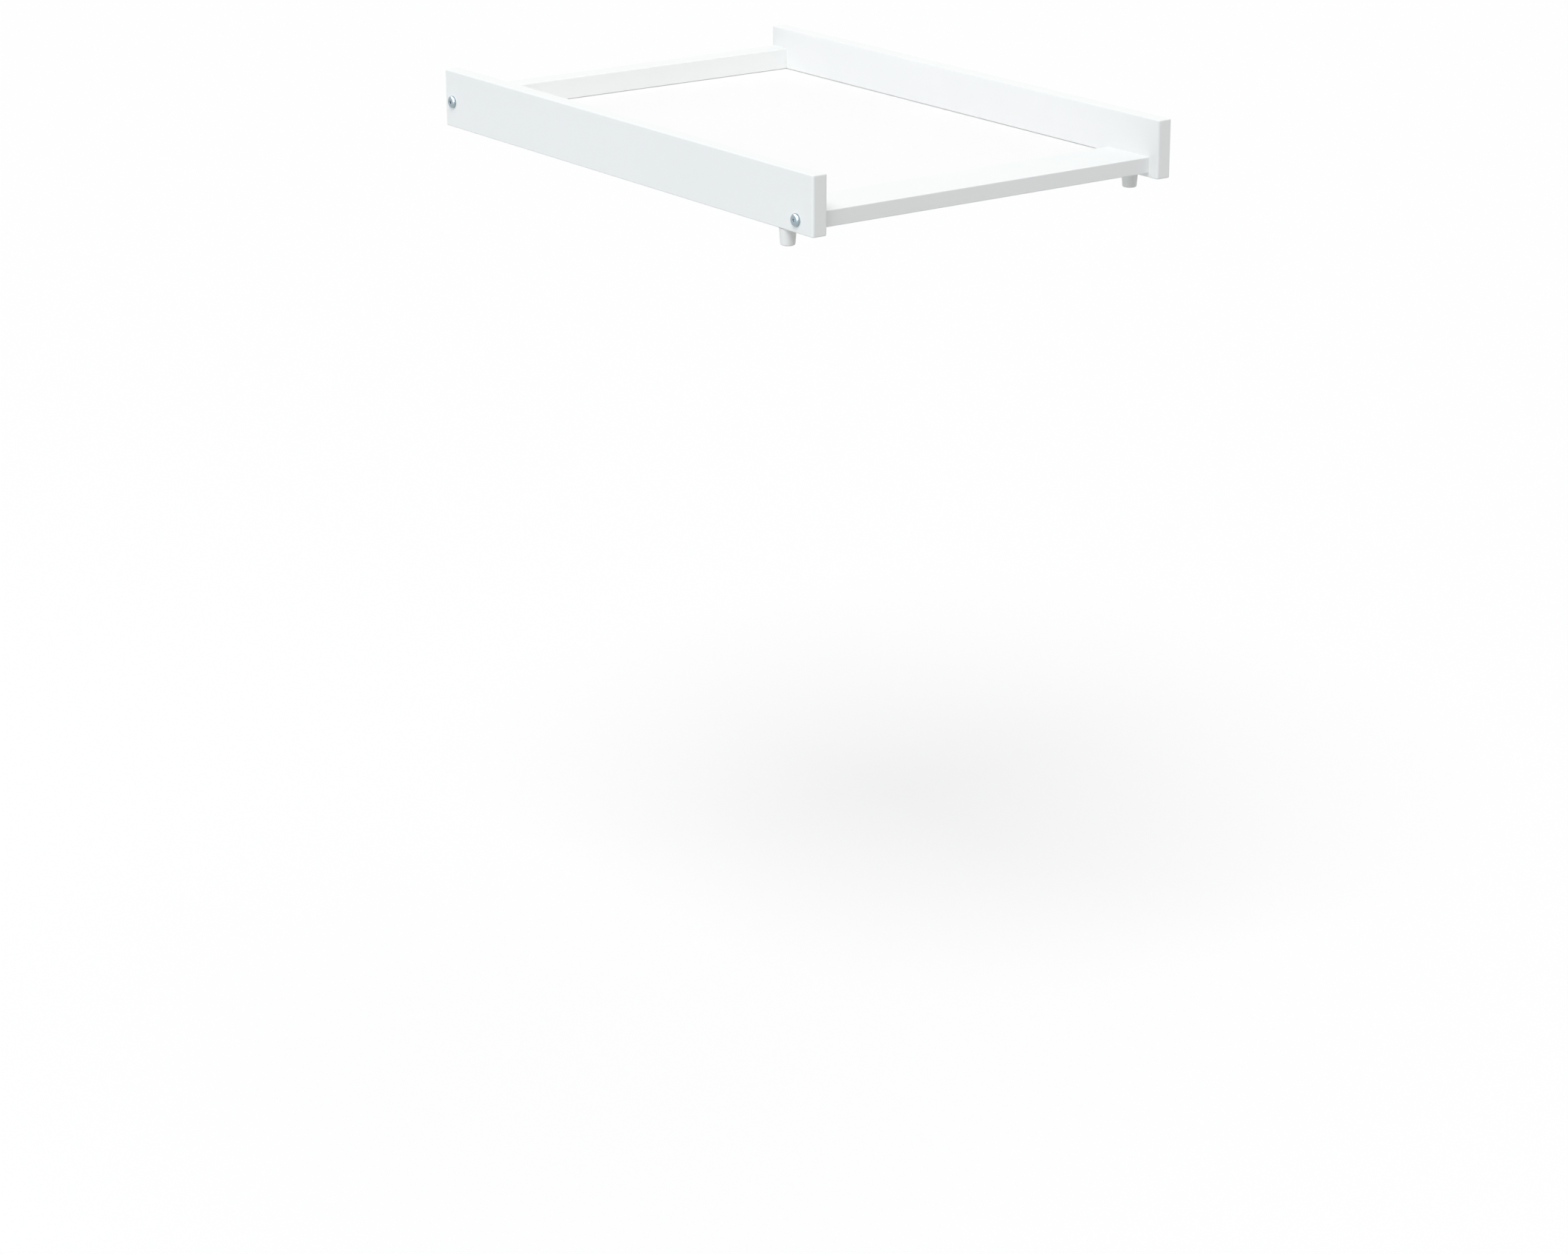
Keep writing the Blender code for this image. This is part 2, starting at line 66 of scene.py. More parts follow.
SIDES = {"left": -1, "right": 1}
ENDS = ("front", "rear")
PANEL_SCREWS = [f"panel_screw_{number}" for number in range(1, 5)]
ACROSS = Vector((1, 0, 0))
UP = Vector((0, 0, 1))

# Camera, fitted to the photograph: its place, its turns in degrees, its lens and its sensor in millimetres
EYE = (-2.8402, -3.8332, 1.0348)
DOWNWARD = 18.784
TURN = -36.342
LENS = 92.10
SENSOR = 36

# Floor, far below the hovering tray; its glow lifts it to white where it is seen or mirrored
FLOOR_LEVEL = -1.13
FLOOR_SIZE = 60
FLOOR_PAINT = "#b3b3b3"
FLOOR_GLOW = 0.53

# Light dome: its two bright sides, each with a direction, a strength and a colour
WHITE = "#ffffff"
DOME_SIDES = (((-1.0, 0.0, 0.0), 0.87, "#f7f8ff"), ((0.707, 0.0, 0.707), 1.01, WHITE))

# Lamps: a wide key from the upper left, a low fill from the left and a softbox overhead for the bolts
KEY_FROM = (-0.20, -0.16, 0.33)
KEY_DISTANCE = 5
KEY_SPREAD = 30
KEY_STRENGTH = 1.37
KEY_COLOUR = "#fffefd"
FILL_FROM = (-1.0, 0.0, -0.12)
FILL_DISTANCE = 5
FILL_SIZE = 2
FILL_WATTS = 38
FILL_COLOUR = "#eeffff"
SOFTBOX_FROM = (-0.41, -0.10, 0.90)
SOFTBOX_DISTANCE = 2
SOFTBOX_SIZE = 6.4
SOFTBOX_WATTS = 400

# Boards and rails
CUT_OVERRUN = 0.002
BOARD_CORNER_ROUNDING = 0.003
BOARD_RIM_ROUNDING = 0.0015
RAIL_ROUNDING = 0.001
RAIL_CLOSING = 0.00028
GROOVE_DEPTH = 0.006
RAIL_GROOVE_DEPTH = 0.008
GROOVE_BOTTOM_PLAY = 0.0003
GROOVE_TOP_PLAY = 0.0006
GROOVE_END_PLAY = 0.0005
BOLT_HOLE_RADIUS = 0.0033
BOLT_CHANNEL_SPARE = 0.002
NUT_HOLE_RADIUS = 0.0053
DOWEL_HOLE_RADIUS = 0.0043
DOWEL_END_PLAY = 0.001
PEG_SCREW_HOLE_RADIUS = 0.0023
PANEL_SCREW_HOLE_RADIUS = 0.00205
PANEL_SCREW_MOUTH_RADIUS = 0.0044
SEAT_GAP = 0.0003

# Connector bolts: domed head, hexagon socket and M6 thread
BOLT_SHANK_RADIUS = 0.003
BOLT_THREAD_ROOT = 0.0024
BOLT_THREAD_PITCH = 0.001
BOLT_THREAD_LENGTH = 0.030
BOLT_HEAD_HEIGHT = 0.0034
BOLT_RIM_HEIGHT = 0.0008
BOLT_FLAT_RADIUS = 0.005
SOCKET_SIZE = 0.004
SOCKET_DEPTH = 0.0024
SOCKET_MOUTH = 0.0001

# Barrel nuts
NUT_CHAMFER = 0.0005
NUT_SLOT_WIDTH = 0.0012
NUT_SLOT_DEPTH = 0.0015

# Dowels
DOWEL_FLUTES = 16
DOWEL_FLUTE_DEPTH = 0.0004
DOWEL_CHAMFER = 0.001

# Countersunk screws, with the thread's pitch and core as shares of its diameter
SCREW_RIM = 0.0004
SCREW_POINT_LENGTH = 0.005
SCREW_POINT_RADIUS = 0.0003
SCREW_CORE_SHARE = 0.66
SCREW_PITCH_SHARE = 0.45
RECESS_WIDTH = 0.001
RECESS_DEPTH = 0.0016
PEG_SCREW_RADIUS = 0.002
PANEL_SCREW_RADIUS = 0.00175

# Pegs
PEG_TIP_RADIUS = 0.0086
PEG_ROUNDING = 0.002
PEG_MOUTH_RADIUS = 0.0049

# Patterns in the finishes, by the distance from one mark to the next
GUN_PASS = 0.090
ORANGE_PEEL = 0.003
SANDING_TOOTH = 0.0008
SHEET_UNEVENNESS = 0.120
PEARL_GRAIN = 0.0016
FIBREBOARD_FIBRE = 0.0005
NYLON_FLOW = 0.012
SPARK_GRAIN = 0.0005
ZINC_CLOUD = 0.004
DIE_MARK = 0.0003
GROWTH_RING = 0.0015
BEECH_RAY = 0.0004
GRAIN_STRETCH = 8

# Facets
ROUNDING_SEGMENTS = 8
HEAD_SEGMENTS = 64
PEG_SEGMENTS = 96
HOLE_SEGMENTS = 48
HEXAGON_SIDES = 6
THREAD_SEGMENTS = 24
RINGS_PER_PITCH = 4
POINTS_PER_FLUTE = 6
ARC_SEGMENTS = 12
SMOOTH_ANGLE = math.radians(32)

# A colour Mix node's sockets go by number, because others share their names
MIX_A = 6
MIX_B = 7
MIX_RESULT = 2


def linear(colour):
    """An sRGB hex colour as linear red, green, blue and alpha."""
    shares = [int(colour[at:at + 2], 16) / 255 for at in (1, 3, 5)]
    return (*(s / 12.92 if s <= 0.04045 else ((s + 0.055) / 1.055) ** 2.4 for s in shares), 1)


def add(tree, kind, inputs=None, **settings):
    """Add a shader node: its settings, and its inputs as plain values or as the sockets that feed them."""
    node = tree.nodes.new("ShaderNode" + kind)
    for name, value in settings.items():
        setattr(node, name, value)
    for socket, value in (inputs or {}).items():
        if isinstance(value, bpy.types.NodeSocket):
            tree.links.new(value, node.inputs[socket])
        else:
            node.inputs[socket].default_value = value
    return node


def new_finish(name):
    """An empty material, its tree and the place in the part's own frame."""
    material = bpy.data.materials.new(name)
    material.use_nodes = True
    tree = material.node_tree
    tree.nodes.clear()
    return material, tree, add(tree, "TexCoord").outputs["Object"]


def polyurethane_lacquer():
    """Satin white two-pack lacquer sprayed on smooth board: an even milk white with a soft sheen."""
    material, tree, place = new_finish("sprayed_polyurethane_lacquer")
    # Passes of the gun, a hand's width apart, vary the film a little in tone and in sheen
    passes = add(tree, "TexNoise", {"Vector": place, "Scale": 1 / GUN_PASS, "Detail": 2.0}).outputs[0]
    tone = add(tree, "Mix", {0: passes, MIX_A: linear("#f4f7f6"), MIX_B: linear("#f8faf9")},
               data_type="RGBA").outputs[MIX_RESULT]
    sheen = add(tree, "MapRange", {"Value": passes, "To Min": 0.34, "To Max": 0.42}).outputs[0]
    # Orange peel of the sprayed film, crests 3 mm apart, over the finer tooth of the sanded ground
    peel = add(tree, "TexNoise", {"Vector": place, "Scale": 1 / ORANGE_PEEL, "Detail": 1.0}).outputs[0]
    tooth = add(tree, "TexNoise", {"Vector": place, "Scale": 1 / SANDING_TOOTH, "Detail": 3.0}).outputs[0]
    film = add(tree, "Bump", {"Height": peel, "Strength": 0.25, "Distance": 0.00006})
    surface = add(tree, "Bump", {"Height": tooth, "Strength": 0.2, "Distance": 0.00001,
                                 "Normal": film.outputs[0]})
    shader = add(tree, "BsdfPrincipled", {"Base Color": tone, "Roughness": sheen,
                                          "Normal": surface.outputs[0], "IOR": 1.5})
    add(tree, "OutputMaterial", {"Surface": shader.outputs[0]})
    return material


def faced_fibreboard():
    """Thin fibreboard faced with white melamine paper: a harder, smoother white than the lacquer's."""
    material, tree, place = new_finish("melamine_faced_fibreboard")
    # Slow unevenness of the pressed sheet
    sheet = add(tree, "TexNoise", {"Vector": place, "Scale": 1 / SHEET_UNEVENNESS, "Detail": 1.0}).outputs[0]
    tone = add(tree, "Mix", {0: sheet, MIX_A: linear("#f9f9f8"), MIX_B: linear("#fcfafa")},
               data_type="RGBA").outputs[MIX_RESULT]
    # Pearl grain of the press plate, drawn at 1.6 mm so that it shows
    pearl = add(tree, "TexVoronoi", {"Vector": place, "Scale": 1 / PEARL_GRAIN},
                feature="SMOOTH_F1").outputs[0]
    grain = add(tree, "Bump", {"Height": pearl, "Strength": 0.2, "Distance": 0.00004})
    sheen = add(tree, "MapRange", {"Value": pearl, "To Min": 0.30, "To Max": 0.38}).outputs[0]
    shader = add(tree, "BsdfPrincipled", {"Base Color": tone, "Roughness": sheen,
                                          "Normal": grain.outputs[0], "IOR": 1.5})
    add(tree, "OutputMaterial", {"Surface": shader.outputs[0]})
    return material


def raw_fibreboard():
    """Bare fibreboard where a drill has opened the lacquered boards: matt tan felt of short wood fibres."""
    material, tree, place = new_finish("raw_fibreboard")
    fibres = add(tree, "TexNoise", {"Vector": place, "Scale": 1 / FIBREBOARD_FIBRE, "Detail": 4.0}).outputs[0]
    tone = add(tree, "Mix", {0: fibres, MIX_A: linear("#96734b"), MIX_B: linear("#b99a6f")},
               data_type="RGBA").outputs[MIX_RESULT]
    felt = add(tree, "Bump", {"Height": fibres, "Strength": 0.6, "Distance": 0.0001})
    shader = add(tree, "BsdfPrincipled", {"Base Color": tone, "Roughness": 0.85,
                                          "Normal": felt.outputs[0], "IOR": 1.5})
    add(tree, "OutputMaterial", {"Surface": shader.outputs[0]})
    return material


def moulded_nylon():
    """White nylon, injection moulded in a spark-eroded mould: a little duller and warmer than the lacquer."""
    material, tree, place = new_finish("moulded_nylon")
    flow = add(tree, "TexNoise", {"Vector": place, "Scale": 1 / NYLON_FLOW, "Detail": 2.0}).outputs[0]
    tone = add(tree, "Mix", {0: flow, MIX_A: linear("#f0f1ef"), MIX_B: linear("#f5f6f4")},
               data_type="RGBA").outputs[MIX_RESULT]
    # Spark grain of the mould, 0.5 mm across
    spark = add(tree, "TexNoise", {"Vector": place, "Scale": 1 / SPARK_GRAIN, "Detail": 2.0}).outputs[0]
    grain = add(tree, "Bump", {"Height": spark, "Strength": 0.35, "Distance": 0.00003})
    shader = add(tree, "BsdfPrincipled", {"Base Color": tone, "Roughness": 0.46,
                                          "Normal": grain.outputs[0], "IOR": 1.53})
    add(tree, "OutputMaterial", {"Surface": shader.outputs[0]})
    return material


def zinc_plated_steel():
    """Steel, cold headed and bright zinc plated: cool silver, slightly clouded by its passivation."""
    material, tree, place = new_finish("zinc_plated_steel")
    cloud = add(tree, "TexNoise", {"Vector": place, "Scale": 1 / ZINC_CLOUD, "Detail": 3.0}).outputs[0]
    tone = add(tree, "Mix", {0: cloud, MIX_A: linear("#94a3ac"), MIX_B: linear("#a8b3b9")},
               data_type="RGBA").outputs[MIX_RESULT]
    sheen = add(tree, "MapRange", {"Value": cloud, "To Min": 0.20, "To Max": 0.32}).outputs[0]
    # Marks of the heading die, 0.3 mm apart
    marks = add(tree, "TexNoise", {"Vector": place, "Scale": 1 / DIE_MARK, "Detail": 2.0}).outputs[0]
    grain = add(tree, "Bump", {"Height": marks, "Strength": 0.2, "Distance": 0.00001})
    shader = add(tree, "BsdfPrincipled", {"Base Color": tone, "Roughness": sheen,
                                          "Metallic": 1.0, "Normal": grain.outputs[0]})
    add(tree, "OutputMaterial", {"Surface": shader.outputs[0]})
    return material


def raw_beech():
    """Bare beech, planed into fluted rod: pale reddish tan with short darker flecks along the grain."""
    material, tree, place = new_finish("raw_beech")
    # Growth rings 1.5 mm apart and rays 0.4 mm wide, both drawn out eight times along the rod
    grain = add(tree, "Mapping", {"Vector": place, "Scale": (1 / GRAIN_STRETCH, 1, 1)}).outputs[0]
    rings = add(tree, "TexNoise", {"Vector": grain, "Scale": 1 / GROWTH_RING, "Detail": 3.0}).outputs[0]
    rays = add(tree, "TexNoise", {"Vector": grain, "Scale": 1 / BEECH_RAY, "Detail": 1.0}).outputs[0]
    flecks = add(tree, "MapRange", {"Value": rays, "From Min": 0.60, "From Max": 0.72}).outputs[0]
    wood = add(tree, "Mix", {0: rings, MIX_A: linear("#c79a6b"), MIX_B: linear("#dbb286")},
               data_type="RGBA").outputs[MIX_RESULT]
    tone = add(tree, "Mix", {0: flecks, MIX_A: wood, MIX_B: linear("#a87647")},
               data_type="RGBA").outputs[MIX_RESULT]
    fibre = add(tree, "Bump", {"Height": rings, "Strength": 0.3, "Distance": 0.00004})
    shader = add(tree, "BsdfPrincipled", {"Base Color": tone, "Roughness": 0.62,
                                          "Normal": fibre.outputs[0], "IOR": 1.5})
    add(tree, "OutputMaterial", {"Surface": shader.outputs[0]})
    return material


def fill_mesh(mesh, bm):
    """Put bm into a mesh for good, smooth but for its sharp edges."""
    bm.to_mesh(mesh)
    bm.free()
    mesh.shade_smooth()
    mesh.set_sharp_from_angle(angle=SMOOTH_ANGLE)


def new_piece(name, bm, material):
    """An object that owns the mesh in bm."""
    bmesh.ops.recalc_face_normals(bm, faces=bm.faces)
    mesh = bpy.data.meshes.new(name)
    mesh.materials.append(material)
    fill_mesh(mesh, bm)
    piece = bpy.data.objects.new(name, mesh)
    bpy.context.scene.collection.objects.link(piece)
    return piece


def take_out(piece, cutters):
    """Cut shapes out of a piece for good. The cut faces take the cutters' materials."""
    for cutter in cutters:
        boolean = piece.modifiers.new(cutter.name, "BOOLEAN")
        boolean.operation = "DIFFERENCE"
        boolean.solver = "EXACT"
        boolean.material_mode = "TRANSFER"
        boolean.object = cutter
    bpy.context.view_layer.update()
    whole = piece.data
    piece.data = bpy.data.meshes.new_from_object(piece.evaluated_get(bpy.context.evaluated_depsgraph_get()))
    piece.modifiers.clear()
    bpy.data.meshes.remove(whole)
    piece.data.set_sharp_from_angle(angle=SMOOTH_ANGLE)
    for cutter in cutters:
        bpy.data.objects.remove(cutter)
    return piece


def flatten_faces(piece):
    """Keep the broad faces flat in the shading and leave the turn to the rounded edges."""
    weighted = piece.modifiers.new("flat_faces", "WEIGHTED_NORMAL")
    weighted.keep_sharp = True
    return piece


def stand_for(node, piece):
    """Let a piece stand for its node, on the part's one body."""
    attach(piece, BODY)
    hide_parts(node)


def block(low, high, rounding=0, along=None):
    """A block between two corners, with all its edges rounded or only those along one axis."""
    bm = bmesh.new()
    bmesh.ops.create_cube(bm, size=1)
    bmesh.ops.scale(bm, vec=high - low, verts=bm.verts)
    bmesh.ops.translate(bm, vec=(low + high) / 2, verts=bm.verts)
    if rounding:
        edges = [edge for edge in bm.edges if along is None or runs_along(edge, along)]
        bmesh.ops.bevel(bm, geom=edges, offset=rounding, segments=ROUNDING_SEGMENTS, profile=0.5,
                        affect="EDGES")
    return bm


def round_rims(bm, rounding):
    """Round the edges that run round the top and the bottom face of a mesh."""
    bm.normal_update()
    rims = [edge for edge in bm.edges if sum(abs(face.normal.z) > 0.5 for face in edge.link_faces) == 1]
    bmesh.ops.bevel(bm, geom=rims, offset=rounding, segments=ROUNDING_SEGMENTS, profile=0.5, affect="EDGES")


def runs_along(edge, axis):
    """Whether an edge of a block lies along the axis."""
    return abs((edge.verts[1].co - edge.verts[0].co).normalized().dot(axis)) > 0.5


def arc(centre, radii, start, end):
    """Points of an ellipse's arc, from one angle to another in degrees."""
    angles = [math.radians(start + (end - start) * step / ARC_SEGMENTS) for step in range(ARC_SEGMENTS + 1)]
    return [(centre[0] + radii[0] * math.cos(a), centre[1] + radii[1] * math.sin(a)) for a in angles]


def ring(bm, radius_at, height, segments):
    """A ring of points round Z. Its radius depends on the share of the turn."""
    points = []
    for number in range(segments):
        share = number / segments
        radius = radius_at(share)
        points.append(bm.verts.new((radius * math.cos(math.tau * share),
                                    radius * math.sin(math.tau * share), height)))
    return points


def skin(bm, rings):
    """Faces from each ring to the next."""
    for first, second in zip(rings, rings[1:]):
        for number, corner in enumerate(first):
            bm.faces.new((first[number - 1], corner, second[number], second[number - 1]))


def skin_with_ends(bm, rings):
    """Faces from each ring to the next, and one over each end."""
    skin(bm, rings)
    bm.faces.new(rings[0])
    bm.faces.new(rings[-1])


def turned(profile, segments, bored=False):
    """A solid turned round Z from (radius, height) points: closed flat at both ends, or round a bore."""
    bm = bmesh.new()
    rings = [ring(bm, lambda share: radius, height, segments) for radius, height in profile]
    if bored:
        skin(bm, [*rings, rings[0]])
    else:
        skin_with_ends(bm, rings)
    return bm


def add_thread(piece, bottom, top, pitch, crest_at, root_at):
    """Add a threaded rod to a piece: one helical ridge between two heights, faded in and out over a turn."""
    bm = bmesh.new()
    bm.from_mesh(piece.data)
    count = round((top - bottom) / pitch * RINGS_PER_PITCH)
    rings = []
    for step in range(count + 1):
        height = bottom + (top - bottom) * step / count
        root = root_at(height)
        ridge = (crest_at(height) - root) * min(1, (height - bottom) / pitch, (top - height) / pitch)

        def radius_at(share):
            return root + ridge * (1 - abs(2 * ((height / pitch - share) % 1) - 1))

        rings.append(ring(bm, radius_at, height, THREAD_SEGMENTS))
    skin_with_ends(bm, rings)
    fill_mesh(piece.data, bm)


def hole(start, end, radius, material, end_radius=None):
    """A round cutter from one point to another, for a hole or a countersink."""
    bm = turned([(radius, 0), (end_radius or radius, (end - start).length)], HOLE_SEGMENTS)
    cutter = new_piece("hole", bm, material)
    cutter.rotation_euler = (end - start).to_track_quat("Z", "Y").to_euler()
    cutter.location = start
    return cutter


def middle_of(node):
    """The middle of a node's box."""
    low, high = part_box(node)
    return (low + high) / 2


def reach_of(node):
    """The least and the greatest distance from the tray's middle plane of a node that stands on one side."""
    low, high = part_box(node)
    return sorted((abs(low.x), abs(high.x)))


def level_hole(node, side, start, end, radius, material):
    """A cutter in line with a node along X, between two distances from the tray's middle plane."""
    middle = middle_of(node)
    return hole(Vector((side * start, middle.y, middle.z)), Vector((side * end, middle.y, middle.z)),
                radius, material)


def upright_hole(node, bottom, top, radius, material):
    """A cutter in line with a node along Z, from below a face up to a height."""
    middle = middle_of(node)
    return hole(Vector((middle.x, middle.y, bottom - CUT_OVERRUN)), Vector((middle.x, middle.y, top)),
                radius, material)


def side_board(side_name, finishes):
    """A side board: rounded all round, grooved for the panel, drilled for its bolts, dowel and peg screw."""
    side = SIDES[side_name]
    node = f"{side_name}_side_board"
    low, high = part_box(node)
    inner, outer = reach_of(node)
    raw = finishes["raw"]
    cutters = [panel_groove(side, inner, high.y, finishes["lacquer"])]
    for end in ENDS:
        cutters.append(level_hole(f"bolt_{end}_{side_name}", side, inner - CUT_OVERRUN, outer + CUT_OVERRUN,
                                  BOLT_HOLE_RADIUS, raw))
    pin = f"dowel_{side_name}"
    cutters.append(level_hole(pin, side, inner - CUT_OVERRUN, reach_of(pin)[1] + DOWEL_END_PLAY,
                              DOWEL_HOLE_RADIUS, raw))
    screw = f"peg_screw_{side_name}"
    cutters.append(upright_hole(screw, low.z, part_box(screw)[1].z + SEAT_GAP, PEG_SCREW_HOLE_RADIUS, raw))
    solid = block(low, high, BOARD_CORNER_ROUNDING, UP)
    round_rims(solid, BOARD_RIM_ROUNDING)
    board = new_piece(f"lacquered_{node}", solid, finishes["lacquer"])
    stand_for(node, flatten_faces(take_out(board, cutters)))


def panel_groove(side, inner, rear, material):
    """A cutter for a board's groove: round where the mill stopped at the front, run out at the rear end."""
    low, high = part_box("base_panel")
    bottom = low.z - GROOVE_BOTTOM_PLAY
    top = high.z + GROOVE_TOP_PLAY
    radius = (top - bottom) / 2
    front = (low.y - GROOVE_END_PLAY, (top + bottom) / 2)
    run_out = rear + CUT_OVERRUN
    outline = [*arc(front, (radius, radius), 90, 270), (run_out, bottom), (run_out, top)]
    bm = bmesh.new()
    start = side * (inner - CUT_OVERRUN)
    face = bm.faces.new([bm.verts.new((start, y, z)) for y, z in outline])
    pushed = bmesh.ops.extrude_face_region(bm, geom=[face])["geom"]
    bmesh.ops.translate(bm, vec=ACROSS * side * (GROOVE_DEPTH + CUT_OVERRUN),
                        verts=[item for item in pushed if isinstance(item, bmesh.types.BMVert)])
    return new_piece("panel_groove", bm, material)


def rail_end_holes(end, low, high, material):
    """Cutters for the bolt channels in both ends of a rail and the upright holes of its barrel nuts."""
    cutters = []
    for side_name, side in SIDES.items():
        bolt = f"bolt_{end}_{side_name}"
        cutters.append(level_hole(bolt, side, high.x + CUT_OVERRUN, reach_of(bolt)[0] - BOLT_CHANNEL_SPARE,
                                  BOLT_HOLE_RADIUS, material))
        nut = f"barrel_nut_{end}_{side_name}"
        cutters.append(upright_hole(nut, low.z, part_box(nut)[1].z + SEAT_GAP, NUT_HOLE_RADIUS, material))
    return cutters


def rail_block(low, high):
    """A rail with rounded long edges, whose bolts draw its ends tight against the boards."""
    closing = ACROSS * RAIL_CLOSING
    return block(low - closing, high + closing, RAIL_ROUNDING, ACROSS)


def front_rail(finishes):
    """The low front rail, with the panel's groove along its back edge."""
    low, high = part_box("front_rail")
    panel_low, panel_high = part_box("base_panel")
    groove_low = Vector((low.x - CUT_OVERRUN, high.y - RAIL_GROOVE_DEPTH, panel_low.z - GROOVE_BOTTOM_PLAY))
    groove_high = Vector((high.x + CUT_OVERRUN, high.y + CUT_OVERRUN, panel_high.z + GROOVE_TOP_PLAY))
    cutters = [new_piece("rail_groove", block(groove_low, groove_high), finishes["lacquer"])]
    cutters += rail_end_holes("front", low, high, finishes["raw"])
    for side_name, side in SIDES.items():
        pin = f"dowel_{side_name}"
        cutters.append(level_hole(pin, side, high.x + CUT_OVERRUN, reach_of(pin)[0] - DOWEL_END_PLAY,
                                  DOWEL_HOLE_RADIUS, finishes["raw"]))
    rail = new_piece("lacquered_front_rail", rail_block(low, high), finishes["lacquer"])
    stand_for("front_rail", flatten_faces(take_out(rail, cutters)))


def rear_rail(finishes):
    """The rear rail, with pilot holes for the screws that hold the panel to it."""
    low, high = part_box("rear_rail")
    cutters = rail_end_holes("rear", low, high, finishes["raw"])
    for screw in PANEL_SCREWS:
        cutters.append(upright_hole(screw, low.z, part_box(screw)[1].z + SEAT_GAP, PANEL_SCREW_HOLE_RADIUS,
                                    finishes["raw"]))
    rail = new_piece("lacquered_rear_rail", rail_block(low, high), finishes["lacquer"])
    stand_for("rear_rail", flatten_faces(take_out(rail, cutters)))


def base_panel(finishes):
    """The thin panel, drilled and countersunk from below along its rear edge."""
    low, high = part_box("base_panel")
    flare = PANEL_SCREW_MOUTH_RADIUS - PANEL_SCREW_HOLE_RADIUS
    cutters = []
    for screw in PANEL_SCREWS:
        middle = middle_of(screw)
        mouth = Vector((middle.x, middle.y, low.z))
        cutters.append(upright_hole(screw, low.z, high.z + CUT_OVERRUN, PANEL_SCREW_HOLE_RADIUS,
                                    finishes["raw"]))
        cutters.append(hole(mouth - UP * flare, mouth + UP * flare, PANEL_SCREW_MOUTH_RADIUS + flare,
                            finishes["raw"], PANEL_SCREW_HOLE_RADIUS))
    panel = new_piece("faced_base_panel", block(low, high), finishes["panel"])
    stand_for("base_panel", flatten_faces(take_out(panel, cutters)))


def hexagon(size, bottom, top, bottom_size):
    """A hexagonal prism along Z, or a taper between two sizes across its flats."""
    corner = 1 / math.sqrt(3)
    return turned([(bottom_size * corner, bottom), (size * corner, top)], HEXAGON_SIDES)


def connector_bolt(end, side_name, material):
    """A connector bolt: domed head with a flat and a hexagon socket, plain shank, rolled thread."""
    node = f"bolt_{end}_{side_name}"
    low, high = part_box(node)
    side = SIDES[side_name]
    length = high.x - low.x
    seat = length - BOLT_HEAD_HEIGHT
    rim = (high.z - low.z) / 2
    dome = arc((BOLT_FLAT_RADIUS, seat + BOLT_RIM_HEIGHT),
               (rim - BOLT_FLAT_RADIUS, BOLT_HEAD_HEIGHT - BOLT_RIM_HEIGHT), 0, 90)
    head = turned([(BOLT_SHANK_RADIUS, BOLT_THREAD_LENGTH), (BOLT_SHANK_RADIUS, seat), (rim, seat), *dome],
                  HEAD_SEGMENTS)
    bolt = new_piece(f"threaded_{node}", head, material)
    sockets = [hexagon(SOCKET_SIZE, length - SOCKET_DEPTH, length + CUT_OVERRUN, SOCKET_SIZE),
               hexagon(SOCKET_SIZE + 2 * (SOCKET_MOUTH + CUT_OVERRUN), length - SOCKET_MOUTH,
                       length + CUT_OVERRUN, SOCKET_SIZE)]
    take_out(bolt, [new_piece("socket", socket, material) for socket in sockets])
    add_thread(bolt, 0, BOLT_THREAD_LENGTH, BOLT_THREAD_PITCH,
               lambda height: min(BOLT_SHANK_RADIUS, BOLT_THREAD_ROOT + height),
               lambda height: BOLT_THREAD_ROOT)
    middle = (low + high) / 2
    bolt.rotation_euler = (ACROSS * side).to_track_quat("Z", "Y").to_euler()
    bolt.location = (side * reach_of(node)[0], middle.y, middle.z)
    stand_for(node, bolt)


def barrel_nut(end, side_name, material):
    """A barrel nut: chamfered cylinder, cross drilled for the bolt, with a driver's slot in its lower end."""
    node = f"barrel_nut_{end}_{side_name}"
    low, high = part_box(node)
    radius = (high.x - low.x) / 2
    half = (high.z - low.z) / 2
    middle = (low + high) / 2
    profile = [(radius - NUT_CHAMFER, -half), (radius, NUT_CHAMFER - half), (radius, half - NUT_CHAMFER),
               (radius - NUT_CHAMFER, half)]
    nut = new_piece(f"slotted_{node}", turned(profile, HEAD_SEGMENTS), material)
    reach = radius + CUT_OVERRUN
    slot_corner = Vector((reach, NUT_SLOT_WIDTH / 2, half + CUT_OVERRUN))
    slot = block(-slot_corner, Vector((reach, NUT_SLOT_WIDTH / 2, NUT_SLOT_DEPTH - half)))
    take_out(nut, [hole(-ACROSS * reach, ACROSS * reach, BOLT_HOLE_RADIUS, material),
                   new_piece("slot", slot, material)])
    nut.location = middle
    stand_for(node, nut)


